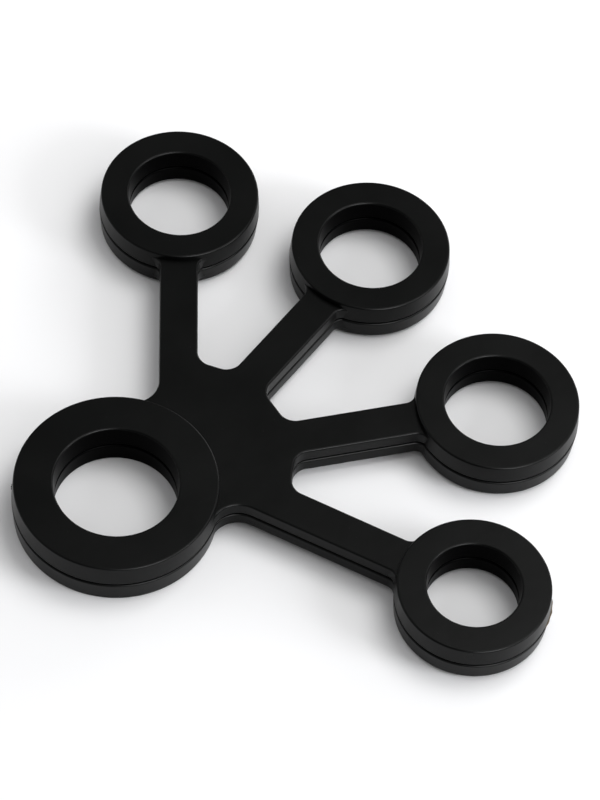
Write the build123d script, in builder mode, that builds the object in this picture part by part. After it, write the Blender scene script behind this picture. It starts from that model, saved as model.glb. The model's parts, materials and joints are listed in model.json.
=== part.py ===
"""Silicone finger exerciser: a thumb loop on a palm web, with four finger loops on elastic straps.

The moulding is the same above and below its parting plane, so every piece is made as an upper half
and mirrored into a lower half. A small bevel along both halves makes the seam groove.

Frame: millimetres. The origin is the centre of the thumb hole on the parting plane. +Y runs from
the thumb towards the fingers, +X towards the little finger, and +Z is up.
"""

import os
from math import cos, radians, sin

from build123d import *

os.makedirs("parts", exist_ok=True)

# Driving dimensions
thumb_thickness = 11.2  # over both halves
finger_thickness = 9.8  # over both halves
web_thickness = 7.0  # palm web and straps, over both halves
edge_radius = 0.6  # rounding along the top and bottom edges
seam_bevel = 0.25  # bevel of each half along the parting plane
part_gap = 0.05  # between curved faces of pieces that move against each other

thumb_hole_radius = 13.1
thumb_outer_radius = 21.8

hub = (0.0, 15.2)  # where all four straps point
palm_radius = 24.5  # palm web's edge between the straps, from the hub
notch_radius = 3.5  # corners between the palm web and the straps
thumb_corner_radius = 6.0  # corners between the outer straps and the thumb loop

strap_width = 8.2
strap_start = 28.0  # from the hub, where a strap leaves the palm web
neck_length = 2.0  # stub of strap that belongs to a finger loop
neck_radius = 2.5  # corners between a strap and its loop

thumb_neck_radius = 26.0  # outer limit of the web that bends beside the thumb loop

# Finger: strap angle from +Y towards +X in degrees, hub to loop centre, hole radius, outer radius
fingers = {
    "index": (-58.0, 68.3, 11.1, 17.5),
    "middle": (-20.8, 69.3, 11.2, 17.5),
    "ring_finger": (19.7, 69.8, 11.3, 17.7),
    "little": (59.0, 69.1, 9.8, 16.35),
}

thumb_height = thumb_thickness / 2
finger_height = finger_thickness / 2
web_height = web_thickness / 2
fan_left, fan_right = fingers["index"][0], fingers["little"][0]


def strap_plane(angle, distance=0.0):
    """Plane with its origin on a strap's centreline, local X outwards and local Z up."""
    out_x, out_y = sin(radians(angle)), cos(radians(angle))
    origin = (hub[0] + distance * out_x, hub[1] + distance * out_y, 0)
    return Plane(origin=origin, x_dir=(out_x, out_y, 0), z_dir=(0, 0, 1))


def cutting_plane(angle, distance):
    """Upright plane across a strap, facing outwards."""
    across = strap_plane(angle, distance)
    return Plane(origin=across.origin, z_dir=across.x_dir)


def vertices_at(sketch, centre, radius):
    """Corners of an outline that lie on a circle."""
    def on_circle(vertex):
        return abs((Vector(vertex.X, vertex.Y) - Vector(*centre)).length - radius) < 0.01

    return sketch.vertices().filter_by(on_circle)


def soften(half):
    """Round the upper edge of a flat blank and bevel its edge along the parting plane."""
    fillet(half.edges().group_by(Axis.Z)[-1], radius=edge_radius)
    chamfer(half.edges().group_by(Axis.Z)[0], length=seam_bevel)


def write_halves(upper, name):
    """Mirror an upper half into its lower half and write both."""
    with BuildPart() as lower:
        mirror(upper.part, about=Plane.XY)
    for half, side in ((upper, "upper"), (lower, "lower")):
        half.part.label = f"{name}_{side}"
        export_step(half.part, f"parts/{name}_{side}.step")


def ring_half(hole_radius, outer_radius, height):
    """Upper half of a flat loop with rounded edges, ready to be added to a part."""
    with BuildPart(mode=Mode.PRIVATE) as ring:
        with BuildSketch():
            Circle(outer_radius)
            Circle(hole_radius, mode=Mode.SUBTRACT)
        extrude(amount=height)
        soften(ring)
    return ring.part


# Thumb loop: the largest loop, fixed straight to the palm web
with BuildPart() as thumb_loop:
    add(ring_half(thumb_hole_radius, thumb_outer_radius, thumb_height))
write_halves(thumb_loop, "thumb_loop")

# Palm web: a fan about the hub with a stub for each strap, blended into the thumb loop's outline
with BuildSketch() as web_outline:
    Circle(thumb_outer_radius)
    with BuildLine():
        fan_edge = CenterArc(hub, palm_radius, 90 - fan_right, fan_right - fan_left)
        Polyline(fan_edge @ 1, hub, fan_edge @ 0)
    make_face()
    for angle, *_ in fingers.values():
        stub = strap_plane(angle, strap_start / 2)
        with Locations((stub.origin.X, stub.origin.Y)):
            Rectangle(strap_start + strap_width, strap_width, rotation=90 - angle)
    fillet(vertices_at(web_outline, hub, palm_radius), radius=notch_radius)
    fillet(vertices_at(web_outline, (0, 0), thumb_outer_radius), radius=thumb_corner_radius)

with BuildPart() as web_blank:
    add(web_outline.sketch)
    extrude(amount=web_height)
    soften(web_blank)
    for angle, *_ in fingers.values():
        split(bisect_by=cutting_plane(angle, strap_start), keep=Keep.BOTTOM)

# The web beyond the thumb loop's bend, which carries the four straps
with BuildPart() as palm_web:
    add(web_blank.part)
    Cylinder(thumb_neck_radius, 2 * thumb_thickness, mode=Mode.SUBTRACT)
write_halves(palm_web, "palm_web")

# The crescent of web that bends between the palm web and the thumb loop
with BuildPart() as thumb_neck:
    add(web_blank.part)
    Cylinder(thumb_neck_radius, 2 * thumb_thickness, mode=Mode.INTERSECT)
    Cylinder(thumb_outer_radius + part_gap, 2 * thumb_thickness, mode=Mode.SUBTRACT)
write_halves(thumb_neck, "thumb_neck")


def strap_link(angle, start, end):
    """Upper half of a straight length of strap between two distances from the hub."""
    middle = strap_plane(angle, (start + end) / 2)
    with BuildPart() as link:
        with BuildSketch(middle):
            Rectangle(end - start, strap_width)
        extrude(amount=web_height)
        lengthwise = link.edges().filter_by(Axis(middle.origin, middle.x_dir))
        fillet(lengthwise.group_by(Axis.Z)[-1], radius=edge_radius)
        chamfer(lengthwise.group_by(Axis.Z)[0], length=seam_bevel)
    return link


def finger_loop(angle, reach, hole_radius, outer_radius):
    """Upper half of a finger loop with the stub of strap that flares into its side."""
    centre = strap_plane(angle, reach)
    seat_radius = outer_radius - part_gap
    with BuildPart() as loop:
        with BuildSketch() as outline:
            Circle(seat_radius)
            with Locations((-outer_radius, 0)):
                Rectangle(2 * strap_width, strap_width)
            fillet(vertices_at(outline, (0, 0), seat_radius), radius=neck_radius)
        extrude(amount=web_height)
        soften(loop)
        split(bisect_by=Plane(origin=(-outer_radius - neck_length, 0, 0), z_dir=(1, 0, 0)))
        Cylinder(hole_radius + edge_radius, 2 * thumb_thickness, mode=Mode.SUBTRACT)
        add(ring_half(hole_radius, outer_radius, finger_height))
    with BuildPart() as placed:
        add(centre.from_local_coords(loop.part))
    return placed


# Each finger: two lengths of strap, then its loop
for finger, (angle, reach, hole_radius, outer_radius) in fingers.items():
    strap_end = reach - outer_radius - neck_length
    strap_middle = (strap_start + strap_end) / 2
    write_halves(strap_link(angle, strap_start, strap_middle), f"{finger}_strap_root")
    write_halves(strap_link(angle, strap_middle, strap_end), f"{finger}_strap_tip")
    write_halves(finger_loop(angle, reach, hole_radius, outer_radius), f"{finger}_loop")
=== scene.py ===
import json
import math

import bmesh
import bpy
from mathutils import Matrix, Vector
from mathutils.geometry import intersect_line_line_2d


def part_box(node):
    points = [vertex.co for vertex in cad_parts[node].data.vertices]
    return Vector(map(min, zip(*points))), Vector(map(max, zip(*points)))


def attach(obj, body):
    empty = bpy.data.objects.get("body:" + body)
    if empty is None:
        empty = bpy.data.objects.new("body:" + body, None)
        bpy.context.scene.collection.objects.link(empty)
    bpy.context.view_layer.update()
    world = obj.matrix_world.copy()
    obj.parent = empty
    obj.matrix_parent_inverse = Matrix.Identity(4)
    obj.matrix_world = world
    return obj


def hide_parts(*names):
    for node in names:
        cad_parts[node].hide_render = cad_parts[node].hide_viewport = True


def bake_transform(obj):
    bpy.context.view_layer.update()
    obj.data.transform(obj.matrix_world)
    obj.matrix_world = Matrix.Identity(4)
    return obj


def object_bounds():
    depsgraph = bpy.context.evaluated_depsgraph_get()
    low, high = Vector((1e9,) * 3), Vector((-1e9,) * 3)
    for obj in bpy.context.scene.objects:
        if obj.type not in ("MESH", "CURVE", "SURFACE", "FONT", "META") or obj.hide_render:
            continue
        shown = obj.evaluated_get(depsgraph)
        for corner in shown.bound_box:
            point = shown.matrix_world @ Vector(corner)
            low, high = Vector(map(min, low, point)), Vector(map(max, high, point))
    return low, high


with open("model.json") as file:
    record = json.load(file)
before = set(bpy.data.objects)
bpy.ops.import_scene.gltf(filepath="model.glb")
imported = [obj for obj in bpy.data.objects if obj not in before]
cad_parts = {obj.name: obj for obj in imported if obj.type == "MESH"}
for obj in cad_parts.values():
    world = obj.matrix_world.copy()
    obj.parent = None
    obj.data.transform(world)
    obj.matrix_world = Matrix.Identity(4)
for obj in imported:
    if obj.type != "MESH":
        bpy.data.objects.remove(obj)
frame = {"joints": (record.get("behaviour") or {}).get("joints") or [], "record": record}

cad_low, cad_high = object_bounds()

# ---------------------------------------------------------------------------
# Sizes. Meshes are modelled in millimetres and scaled to metres when finished.
# ---------------------------------------------------------------------------

MM = 0.001
RECORD = frame["record"]
BORES = {mount["name"]: mount for mount in RECORD["mounts"] if mount["kind"] == "bore"}
JOINTS = {joint["name"]: joint for joint in frame["joints"]}
FINGERS = ("index", "middle", "ring_finger", "little")

WEB_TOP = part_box("palm_web_upper")[1][2] / MM
FLOOR_LEVEL = cad_low.z

HUB = Vector((0.0, 15.2, 0.0))  # where the straps' centrelines meet
STRAP_HALF_WIDTH = 4.1
PALM_REACH = 24.5  # hub to the web's edge between two straps
PALM_END = 28.0  # hub to where the palm web hands over to the straps

EDGE_RADIUS = 0.42  # rounding along the flat faces
DRAFT = 0.18  # half of how far a wall leans back between the seam and its flat face
LIP_RADIUS = 0.36  # rounding of each half beside the seam
SEAM_GAP = 0.17  # each half's share of the slot at the seam
SEAM_DEPTH = 0.9
SEAM_STEP = Vector((0.10, -0.06, 0.0))  # how far the lower mould half sat off the upper one
NOTCH_RADIUS = 3.5
THUMB_CORNER_RADIUS = 6.0
FLARE_RADIUS = 2.5
BURIED = 2.0  # how far a web or strap runs on inside a loop's wall

EDGE_STEPS = 6
LIP_STEPS = 3
LOOP_STEPS = 192
CORNER_STEPS_PER_MM = 3  # of a plan corner's radius
FLASH_STEPS = 40
BEND_STEP = 0.5  # between the cross cuts that let a strap or the web bend
FLARE_STEP = 0.2  # between the cross cuts where a strap widens
SHARP_EDGE = math.radians(35)
SAME_PLACE = 1e-4
STUB_LENGTH = 4.0  # of each strap on the web blank, cut off again at PALM_END
FAR = 80.0  # long enough to run past any corner in plan
THUMB_BEND_REACH = 5.5  # the web is cut across beside the thumb loop this far each way from the joint


# ---------------------------------------------------------------------------
# Mesh helpers
# ---------------------------------------------------------------------------

def round_corners(bm, corners, radius, steps):
    """Rounds corners of a flat outline to a radius, whatever the angle between their edges."""
    for corner in corners:
        sides = [edge.other_vert(corner).co - corner.co for edge in corner.link_edges]
        offset = radius / math.tan(sides[0].angle(sides[1]) / 2)
        bmesh.ops.bevel(bm, geom=[corner], offset=offset, offset_type="OFFSET", segments=steps,
                        profile=0.5, affect="VERTICES", clamp_overlap=False, material=-1)


def round_edges(bm, edges, radius, steps):
    bmesh.ops.bevel(bm, geom=edges, offset=radius, offset_type="OFFSET", segments=steps,
                    profile=0.5, affect="EDGES", clamp_overlap=False, loop_slide=True, material=-1)


def half_section(inner, outer, top, draft=0.0):
    """Section of one half across its width: rounded above, stepped in at the seam, walls leaning back."""
    bm = bmesh.new()
    low_inner, high_inner = inner - draft, inner + draft
    low_outer, high_outer = outer + draft, outer - draft
    inner_foot, outer_foot = inner + SEAM_DEPTH, outer - SEAM_DEPTH
    corners = ((inner_foot, 0), (inner_foot, SEAM_GAP), (low_inner, SEAM_GAP), (high_inner, top),
               (high_outer, top), (low_outer, SEAM_GAP), (outer_foot, SEAM_GAP), (outer_foot, 0))
    points = [bm.verts.new((x, 0, z)) for x, z in corners]
    bm.faces.new(points)
    round_corners(bm, points[3:5], EDGE_RADIUS, EDGE_STEPS)
    round_corners(bm, (points[2], points[5]), LIP_RADIUS, LIP_STEPS)
    return bm


def close_and_face_out(bm):
    bmesh.ops.remove_doubles(bm, verts=bm.verts, dist=SAME_PLACE)
    bmesh.ops.recalc_face_normals(bm, faces=bm.faces)


def cut_across(bm, point, normal, clear=False):
    """Cuts the mesh along a plane. With clear, what lies past the plane goes, and the cut is capped."""
    geometry = bm.verts[:] + bm.edges[:] + bm.faces[:]
    bmesh.ops.bisect_plane(bm, geom=geometry, dist=1e-5, plane_co=point, plane_no=normal, clear_outer=clear)
    if clear:
        rim = [edge for edge in bm.edges if edge.is_boundary]
        bmesh.ops.holes_fill(bm, edges=rim, sides=0)


def finish_piece(bm, name, half, nodes, place=None, material=None):
    """Turns an upper half into a piece, mirrored below the seam for a lower one."""
    if place:
        bm.transform(place)
    if half == "lower":
        bmesh.ops.scale(bm, vec=(1, 1, -1), verts=bm.verts)
        bmesh.ops.translate(bm, vec=SEAM_STEP, verts=bm.verts)
    bm.transform(Matrix.Scale(MM, 4))
    bmesh.ops.recalc_face_normals(bm, faces=bm.faces)
    for face in bm.faces:
        face.smooth = True
    for edge in bm.edges:
        edge.smooth = edge.is_manifold and edge.calc_face_angle(0) < SHARP_EDGE
    mesh = bpy.data.meshes.new(name)
    bm.to_mesh(mesh)
    bm.free()
    piece = bpy.data.objects.new(name, mesh)
    bpy.context.collection.objects.link(piece)
    weighted = piece.modifiers.new("flat_faces_stay_flat", "WEIGHTED_NORMAL")
    weighted.keep_sharp = True
    mesh.materials.append(material or silicone)
    if nodes:
        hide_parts(*nodes)
    return piece


# ---------------------------------------------------------------------------
# Materials
# ---------------------------------------------------------------------------

DUST_COLOUR = (0.055, 0.055, 0.058, 1)


def new_material(name):
    material = bpy.data.materials.new(name)
    material.use_nodes = True
    tree = material.node_tree
    return material, tree, tree.nodes["Principled BSDF"]


def noise(tree, coordinates, scale, detail):
    node = tree.nodes.new("ShaderNodeTexNoise")
    node.inputs["Scale"].default_value = scale
    node.inputs["Detail"].default_value = detail
    tree.links.new(coordinates, node.inputs["Vector"])
    return node.outputs["Fac"]


def spread(tree, value, low_in, high_in, low_out, high_out):
    """Maps a value's range onto another, clamped at both ends."""
    node = tree.nodes.new("ShaderNodeMapRange")
    limits = {"From Min": low_in, "From Max": high_in, "To Min": low_out, "To Max": high_out}
    for socket, number in limits.items():
        node.inputs[socket].default_value = number
    tree.links.new(value, node.inputs["Value"])
    return node.outputs["Result"]


def multiply(tree, first, second):
    """Product of two values, the second of which may be a plain number."""
    node = tree.nodes.new("ShaderNodeMath")
    node.operation = "MULTIPLY"
    tree.links.new(first, node.inputs[0])
    if isinstance(second, float):
        node.inputs[1].default_value = second
    else:
        tree.links.new(second, node.inputs[1])
    return node.outputs["Value"]


def bump(tree, height, distance, strength, below=None):
    node = tree.nodes.new("ShaderNodeBump")
    node.inputs["Distance"].default_value = distance
    node.inputs["Strength"].default_value = strength
    tree.links.new(height, node.inputs["Height"])
    if below:
        tree.links.new(below, node.inputs["Normal"])
    return node.outputs["Normal"]


def make_silicone(name, dark, light, dustiness, specular):
    """Matte black moulded silicone: fine mould grain, slow unevenness and a little dust.

    The colour wanders between dark and light. The kind on the hole walls is darker, with less gloss and no
    dust: painted shade standing in for the shadow inside the holes.
    """
    material, tree, shader = new_material(name)
    place = tree.nodes.new("ShaderNodeTexCoord").outputs["Object"]
    grain = noise(tree, place, scale=5200, detail=3)
    ripple = noise(tree, place, scale=260, detail=2)
    patches = noise(tree, place, scale=60, detail=3)
    dust = noise(tree, place, scale=2100, detail=1)

    colour = tree.nodes.new("ShaderNodeMix")
    colour.data_type = "RGBA"
    colour.inputs["A"].default_value = dark
    colour.inputs["B"].default_value = light
    tree.links.new(patches, colour.inputs["Factor"])
    dusty = tree.nodes.new("ShaderNodeMix")
    dusty.data_type = "RGBA"
    dusty.inputs["B"].default_value = DUST_COLOUR
    tree.links.new(spread(tree, dust, 0.78, 0.84, 0, dustiness), dusty.inputs["Factor"])
    tree.links.new(colour.outputs["Result"], dusty.inputs["A"])
    tree.links.new(dusty.outputs["Result"], shader.inputs["Base Color"])

    tree.links.new(spread(tree, patches, 0.3, 0.7, 0.27, 0.36), shader.inputs["Roughness"])
    shader.inputs["Specular IOR Level"].default_value = specular
    uneven = bump(tree, ripple, distance=0.00006, strength=0.5)
    grained = bump(tree, grain, distance=0.00002, strength=0.35, below=uneven)
    tree.links.new(grained, shader.inputs["Normal"])
    return material


def make_flash():
    """Thin film of silicone squeezed out at the seam, thin enough to look brown."""
    material, tree, shader = new_material("thin_seam_flash")
    place = tree.nodes.new("ShaderNodeTexCoord").outputs["Object"]
    thickness = noise(tree, place, scale=1500, detail=2)
    colour = tree.nodes.new("ShaderNodeMix")
    colour.data_type = "RGBA"
    colour.inputs["A"].default_value = (0.030, 0.021, 0.010, 1)
    colour.inputs["B"].default_value = (0.110, 0.078, 0.036, 1)
    tree.links.new(thickness, colour.inputs["Factor"])
    tree.links.new(colour.outputs["Result"], shader.inputs["Base Color"])
    shader.inputs["Roughness"].default_value = 0.4
    shader.inputs["Specular IOR Level"].default_value = 0.3
    return material


silicone = make_silicone("matte_black_silicone", dark=(0.0009, 0.0011, 0.0010, 1),
                         light=(0.0016, 0.0018, 0.0017, 1), dustiness=0.3, specular=0.09)
# Darker, less glossy copy of the silicone for the hole walls: painted shade standing in for the shadow
# inside the holes.
hole_shade_silicone = make_silicone("painted_shade_black_silicone", dark=(0.0003, 0.0003, 0.0004, 1),
                               light=(0.0005, 0.0005, 0.0006, 1), dustiness=0.0, specular=0.01)
flash = make_flash()


# ---------------------------------------------------------------------------
# Loops
# ---------------------------------------------------------------------------

def loop_facts(finger):
    """Centre, hole radius, outer radius and the flat face's height of a loop in millimetres."""
    bore = BORES[finger + "_bore"]
    centre = Vector(bore["pos_m"]) / MM
    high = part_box(finger + "_loop_upper")[1] / MM
    return centre, bore["dims"]["r_mm"], high.y - centre.y, high.z


def make_loop(finger, half):
    centre, hole, outer, top = loop_facts(finger)
    bm = half_section(hole, outer, top, DRAFT)
    bmesh.ops.delete(bm, geom=bm.faces[:], context="FACES_ONLY")
    bmesh.ops.spin(bm, geom=bm.verts[:] + bm.edges[:], cent=(0, 0, 0), axis=(0, 0, 1), angle=math.tau,
                   steps=LOOP_STEPS, use_merge=True)
    close_and_face_out(bm)
    for face in bm.faces:
        middle = face.calc_center_median()
        on_hole_wall = middle.xy.length < hole + DRAFT and middle.z < top - EDGE_RADIUS
        face.material_index = int(on_hole_wall)  # 1 is the darker silicone added below, painted shade on the hole walls
    node = f"{finger}_loop_{half}"
    piece = finish_piece(bm, "soft_" + node, half, [node], Matrix.Translation(centre))
    piece.data.materials.append(hole_shade_silicone)
    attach(piece, finger + "_loop")


for half in ("upper", "lower"):
    for finger in ("thumb",) + FINGERS:
        make_loop(finger, half)


# ---------------------------------------------------------------------------
# Straps
# ---------------------------------------------------------------------------

def joint_place(name):
    return Vector(JOINTS[name]["pos_m"]) / MM


def strap_angle(finger):
    """Angle of a strap from +Y towards +X."""
    out = loop_facts(finger)[0] - HUB
    return math.atan2(out.x, out.y)


def strap_place(finger):
    """Turns local +Y, measured from the hub, into a strap's direction."""
    return Matrix.Translation(HUB) @ Matrix.Rotation(-strap_angle(finger), 4, "Z")


def stations(start, end, step):
    count = max(1, round((end - start) / step))
    return [start + (end - start) * i / count for i in range(count + 1)]


def strap_bar(places):
    """Half of a strap with a cross cut at every place along local Y."""
    bm = half_section(-STRAP_HALF_WIDTH, STRAP_HALF_WIDTH, WEB_TOP)
    bmesh.ops.translate(bm, vec=(0, places[0], 0), verts=bm.verts)
    front = bm.faces[:]
    for here, there in zip(places, places[1:]):
        made = bmesh.ops.extrude_face_region(bm, geom=front, use_keep_orig=here == places[0])["geom"]
        moved = [v for v in made if isinstance(v, bmesh.types.BMVert)]
        front = [f for f in made if isinstance(f, bmesh.types.BMFace)]
        bmesh.ops.translate(bm, vec=(0, there - here, 0), verts=moved)
    return bm


def flare_towards_loop(bm, start):
    """Widens a strap's end along a quarter circle, into the side of its loop."""
    furthest = 0.96 * FLARE_RADIUS  # stops short of where the quarter circle turns square to the strap
    middle = STRAP_HALF_WIDTH - SEAM_DEPTH - 0.2  # half the width that stays as it is
    for vert in bm.verts:
        along = min(vert.co.y - start, furthest)
        if along > 0 and abs(vert.co.x) > middle:
            wider = FLARE_RADIUS - math.sqrt(FLARE_RADIUS**2 - along**2)
            vert.co.x += math.copysign(wider, vert.co.x)


def make_strap(finger, half):
    """A strap in three lengths: a root centred on its lift joint, a middle, and a tip from before its tilt
    joint into its loop.
    """
    centre, _, outer, _ = loop_facts(finger)
    reach = (centre - HUB).length
    wall = reach - outer
    flare_start = reach - math.sqrt((outer + FLARE_RADIUS)**2 - (STRAP_HALF_WIDTH + FLARE_RADIUS)**2)
    place = strap_place(finger)

    def point(distance):
        return tuple(MM * v for v in place @ Vector((0, distance, 0)))

    lift = (joint_place(finger + "_lift") - HUB).length
    tilt = (joint_place(finger + "_tilt") - HUB).length
    lift_end = 2 * lift - PALM_END
    tilt_start = tilt - (lift - PALM_END)

    root = strap_bar(stations(PALM_END, lift_end, BEND_STEP))
    node = f"{finger}_strap_root_{half}"
    piece = finish_piece(root, "soft_" + node, half, [node], place)
    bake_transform(piece)

    middle = strap_bar(stations(lift_end, tilt_start, BEND_STEP))
    piece = finish_piece(middle, f"soft_{finger}_strap_middle_{half}", half, [], place)
    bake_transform(piece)

    straight = stations(tilt_start, flare_start, BEND_STEP)
    flared = stations(flare_start, wall + BURIED, FLARE_STEP)
    tip = strap_bar(straight + flared[1:])
    flare_towards_loop(tip, flare_start)
    node = f"{finger}_strap_tip_{half}"
    piece = finish_piece(tip, "soft_" + node, half, [node], place)
    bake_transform(piece)


for half in ("upper", "lower"):
    for finger in FINGERS:
        make_strap(finger, half)


# ---------------------------------------------------------------------------
# Palm web
# ---------------------------------------------------------------------------

def heading(angle):
    return Vector((math.sin(angle), math.cos(angle)))


def strap_side(finger, side):
    """Two far points on one side of a strap in plan, side 1 being to its right."""
    angle = strap_angle(finger)
    across = heading(angle + math.pi / 2) * side * STRAP_HALF_WIDTH
    return HUB.xy + across, HUB.xy + across + heading(angle) * FAR


def web_edge(left, right):
    """The web's straight edge between two straps, as two far points."""
    angle = (strap_angle(left) + strap_angle(right)) / 2
    middle = HUB.xy + heading(angle) * PALM_REACH
    across = heading(angle + math.pi / 2) * FAR
    return middle - across, middle + across


def thumb_corner(finger, side):
    """Plan corner between an outer strap and the thumb loop, and where its rounding touches the loop."""
    outer = loop_facts("thumb")[2]
    start, far = strap_side(finger, side)
    along = (far - start).normalized()
    start = start + heading(strap_angle(finger) + math.pi / 2) * side * THUMB_CORNER_RADIUS
    reach = outer + THUMB_CORNER_RADIUS
    slope = start.dot(along)
    centre = start + along * (math.sqrt(slope**2 - start.length_squared + reach**2) - slope)
    touch = centre * (outer / reach)
    tangent = Vector((touch.y, -touch.x)).normalized()
    far_tangent = (touch - tangent * FAR, touch + tangent * FAR)
    return intersect_line_line_2d(*far_tangent, *strap_side(finger, side)), touch


def web_outline():
    """The web's outline in plan, from the left of the thumb loop round to its right: corners and radii."""
    stub = PALM_END + STUB_LENGTH
    points = []
    for finger, after in zip(FINGERS, FINGERS[1:] + (None,)):
        for side in (-1, 1):
            tip = strap_side(finger, side)[0] + heading(strap_angle(finger)) * stub
            points.append((tip, 0))
        if after:
            edge = web_edge(finger, after)
            points.append((intersect_line_line_2d(*edge, *strap_side(finger, 1)), NOTCH_RADIUS))
            points.append((intersect_line_line_2d(*edge, *strap_side(after, -1)), NOTCH_RADIUS))
    for finger, side in (("little", 1), ("index", -1)):
        corner, touch = thumb_corner(finger, side)
        onward = (touch - corner).normalized()
        ends = [(corner, THUMB_CORNER_RADIUS), (touch + onward * 0.8, 0)]
        points += ends if side > 0 else reversed(ends)
        if side > 0:
            buried = loop_facts("thumb")[2] - 2 * BURIED
            points += [(heading(math.radians(turn)) * buried, 0) for turn in (50, 25, 0, -25, -50)]
    return points


def web_blank():
    """Upper half of the web, with a stub for every strap and its lower rim inside the thumb loop."""
    bm = bmesh.new()
    corners = [(bm.verts.new((point.x, point.y, SEAM_GAP)), radius) for point, radius in web_outline()]
    bm.faces.new([vert for vert, _ in corners])
    for vert, radius in corners:
        if radius:
            round_corners(bm, [vert], radius, round(radius * CORNER_STEPS_PER_MM))
    underside = bm.faces[:]
    made = bmesh.ops.extrude_face_region(bm, geom=underside, use_keep_orig=True)["geom"]
    raised = [v for v in made if isinstance(v, bmesh.types.BMVert)]
    bmesh.ops.translate(bm, vec=(0, 0, WEB_TOP - SEAM_GAP), verts=raised)
    for level, radius, steps in ((WEB_TOP, EDGE_RADIUS, EDGE_STEPS), (SEAM_GAP, LIP_RADIUS, LIP_STEPS)):
        rim = [edge for edge in bm.edges if all(abs(vert.co.z - level) < SAME_PLACE for vert in edge.verts)]
        round_edges(bm, rim, radius, steps)
    foot = min(bm.faces, key=lambda face: face.calc_center_median().z)
    bmesh.ops.inset_region(bm, faces=[foot], thickness=SEAM_DEPTH - LIP_RADIUS, use_even_offset=True)
    made = bmesh.ops.extrude_face_region(bm, geom=[foot])["geom"]
    lowered = [v for v in made if isinstance(v, bmesh.types.BMVert)]
    bmesh.ops.translate(bm, vec=(0, 0, -SEAM_GAP), verts=lowered)
    return bm


def make_palm_web(half):
    bm = web_blank()
    for finger in FINGERS:
        along = heading(strap_angle(finger)).to_3d()
        cut_across(bm, HUB + along * PALM_END, along, clear=True)
    middle = joint_place("thumb_flex").y
    bend = (middle - THUMB_BEND_REACH, middle + THUMB_BEND_REACH)
    for y in stations(*bend, BEND_STEP):
        cut_across(bm, (0, y, 0), (0, 1, 0))
    close_and_face_out(bm)
    nodes = [f"palm_web_{half}", f"thumb_neck_{half}"]
    piece = finish_piece(bm, f"soft_palm_web_{half}", half, nodes)
    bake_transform(piece)


for half in ("upper", "lower"):
    make_palm_web(half)


# ---------------------------------------------------------------------------
# Flash left on the seam by the mould
# ---------------------------------------------------------------------------

def make_seam_flash(finger, name, bearing, length, proud, thickness, material):
    """Sliver of silicone standing out of a loop's seam, tapering to nothing at both ends.

    The bearing turns from +Y towards +X, and the length runs along the loop's wall.
    """
    centre, _, outer, _ = loop_facts(finger)
    spread_angle = length / outer
    bm = bmesh.new()
    corners = ((-SEAM_DEPTH, -1), (-SEAM_DEPTH, 1), (0.5 * proud, 1), (proud, 0), (0.5 * proud, -1))
    section = [bm.verts.new((outer + x, 0, z * thickness / 2)) for x, z in corners]
    bm.faces.new(section)
    start = Matrix.Rotation(math.pi / 2 - math.radians(bearing) - spread_angle / 2, 4, "Z")
    bm.transform(start)
    bmesh.ops.spin(bm, geom=bm.faces[:], cent=(0, 0, 0), axis=(0, 0, 1), angle=spread_angle,
                   steps=FLASH_STEPS)
    middle = heading(math.radians(bearing))
    for vert in bm.verts:
        flat = vert.co.xy
        stands_out = flat.length - outer
        if stands_out > 0:
            off_middle = flat.angle(middle) / (spread_angle / 2)
            ragged = 0.85 + 0.15 * math.sin(9 * off_middle + length)
            taper = math.sqrt(max(0.0, 1 - off_middle**2)) * ragged
            vert.co.xy = flat.normalized() * (outer + stands_out * taper)
    close_and_face_out(bm)
    piece = finish_piece(bm, name, "upper", [], Matrix.Translation(centre), material)
    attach(piece, finger + "_loop")


make_seam_flash("little", "little_loop_seam_flash", bearing=44, length=8.5, proud=0.50,
                thickness=0.22, material=flash)
make_seam_flash("thumb", "thumb_loop_seam_nub", bearing=217, length=1.8, proud=0.45,
                thickness=0.55, material=silicone)


# ---------------------------------------------------------------------------
# Floor, light and camera
# ---------------------------------------------------------------------------

STUDIO_STRENGTH = 1.24
LIGHT_DISTANCE = 0.9
FLOOR_SIZE = 6

CAMERA_AZIMUTH = math.radians(53.03)
CAMERA_ELEVATION = math.radians(55.94)
CAMERA_ROLL = math.radians(5.21)
CAMERA_DISTANCE = 0.8518
CAMERA_LENS = 177.3
LOOK_AT = Vector((-0.00376, 0.0488, FLOOR_LEVEL))


def make_floor():
    bpy.ops.mesh.primitive_plane_add(size=FLOOR_SIZE, location=(0, 0, FLOOR_LEVEL))
    floor = bpy.context.object
    floor.name = "floor"
    material, tree, shader = new_material("pale_floor")
    shader.inputs["Base Color"].default_value = (0.86, 0.86, 0.87, 1)
    shader.inputs["Roughness"].default_value = 0.9
    shader.inputs["Specular IOR Level"].default_value = 0.1
    floor.data.materials.append(material)


def direction(azimuth, elevation):
    """Unit vector that turns from +X towards +Y by the azimuth."""
    a, e = math.radians(azimuth), math.radians(elevation)
    return Vector((math.cos(a) * math.cos(e), math.sin(a) * math.cos(e), math.sin(e)))


def dim_towards(tree, azimuth, elevation, edge, middle, dimmest):
    """Factor that falls from 1 to the dimmest value around one direction of the studio."""
    aim = tree.nodes.new("ShaderNodeVectorMath")
    aim.operation = "DOT_PRODUCT"
    aim.inputs[1].default_value = direction(azimuth, elevation)
    tree.links.new(tree.nodes.new("ShaderNodeTexCoord").outputs["Generated"], aim.inputs[0])
    return spread(tree, aim.outputs["Value"], edge, middle, 1.0, dimmest)


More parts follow.
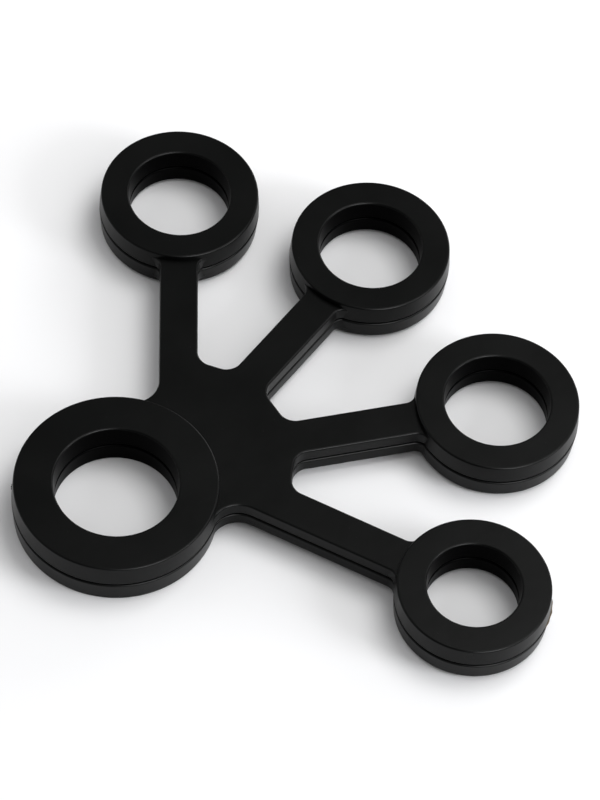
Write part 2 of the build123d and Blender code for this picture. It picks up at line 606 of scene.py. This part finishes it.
def make_light(name, azimuth, elevation, size, power, colour):
    """Square soft light aimed at the object."""
    lamp = bpy.data.lights.new(name, "AREA")
    lamp.size = size
    lamp.energy = power
    lamp.color = colour
    light = bpy.data.objects.new(name, lamp)
    away = direction(azimuth, elevation)
    light.location = LOOK_AT + away * LIGHT_DISTANCE
    light.rotation_euler = away.to_track_quat("Z", "Y").to_euler()
    bpy.context.collection.objects.link(light)
    return light


def make_studio():
    world = bpy.data.worlds.new("studio")
    world.use_nodes = True
    tree = world.node_tree
    background = tree.nodes["Background"]
    background.inputs["Color"].default_value = (1.0, 1.0, 1.0, 1)
    unlit_room = dim_towards(tree, -57, 15, edge=0.35, middle=0.85, dimmest=0.08)
    ceiling = dim_towards(tree, 148, 52, edge=0.40, middle=0.95, dimmest=0.30)
    walls = multiply(tree, multiply(tree, unlit_room, ceiling), STUDIO_STRENGTH)
    tree.links.new(walls, background.inputs["Strength"])
    bpy.context.scene.world = world
    make_light("key", 88, 67, size=0.5, power=3.8, colour=(1.0, 1.0, 0.99))
    make_light("side", 36, 24, size=0.28, power=4.0, colour=(0.97, 0.98, 1.0))
    make_light("rim", 113, 12, size=0.5, power=3.0, colour=(1.0, 1.0, 1.0))
    shine = make_light("shine", -6, 32, size=0.45, power=12.0, colour=(0.98, 0.99, 1.0))
    shine.visible_diffuse = False  # glints on rounded edges without lighting the floor
    bpy.context.scene.view_settings.view_transform = "Standard"


def make_camera():
    level_right = Vector((math.cos(CAMERA_AZIMUTH), math.sin(CAMERA_AZIMUTH), 0))
    forward = Vector((-level_right.y, level_right.x, 0))
    back = -forward * math.cos(CAMERA_ELEVATION) + Vector((0, 0, math.sin(CAMERA_ELEVATION)))
    level_up = back.cross(level_right)
    right = level_right * math.cos(CAMERA_ROLL) + level_up * math.sin(CAMERA_ROLL)
    up = level_up * math.cos(CAMERA_ROLL) - level_right * math.sin(CAMERA_ROLL)
    turn = Matrix((right, up, back)).transposed().to_4x4()
    lens = bpy.data.cameras.new("camera")
    lens.lens = CAMERA_LENS
    camera = bpy.data.objects.new("camera", lens)
    camera.matrix_world = Matrix.Translation(LOOK_AT + back * CAMERA_DISTANCE) @ turn
    bpy.context.collection.objects.link(camera)
    bpy.context.scene.camera = camera


make_floor()
make_studio()
make_camera()

bpy.context.view_layer.update()
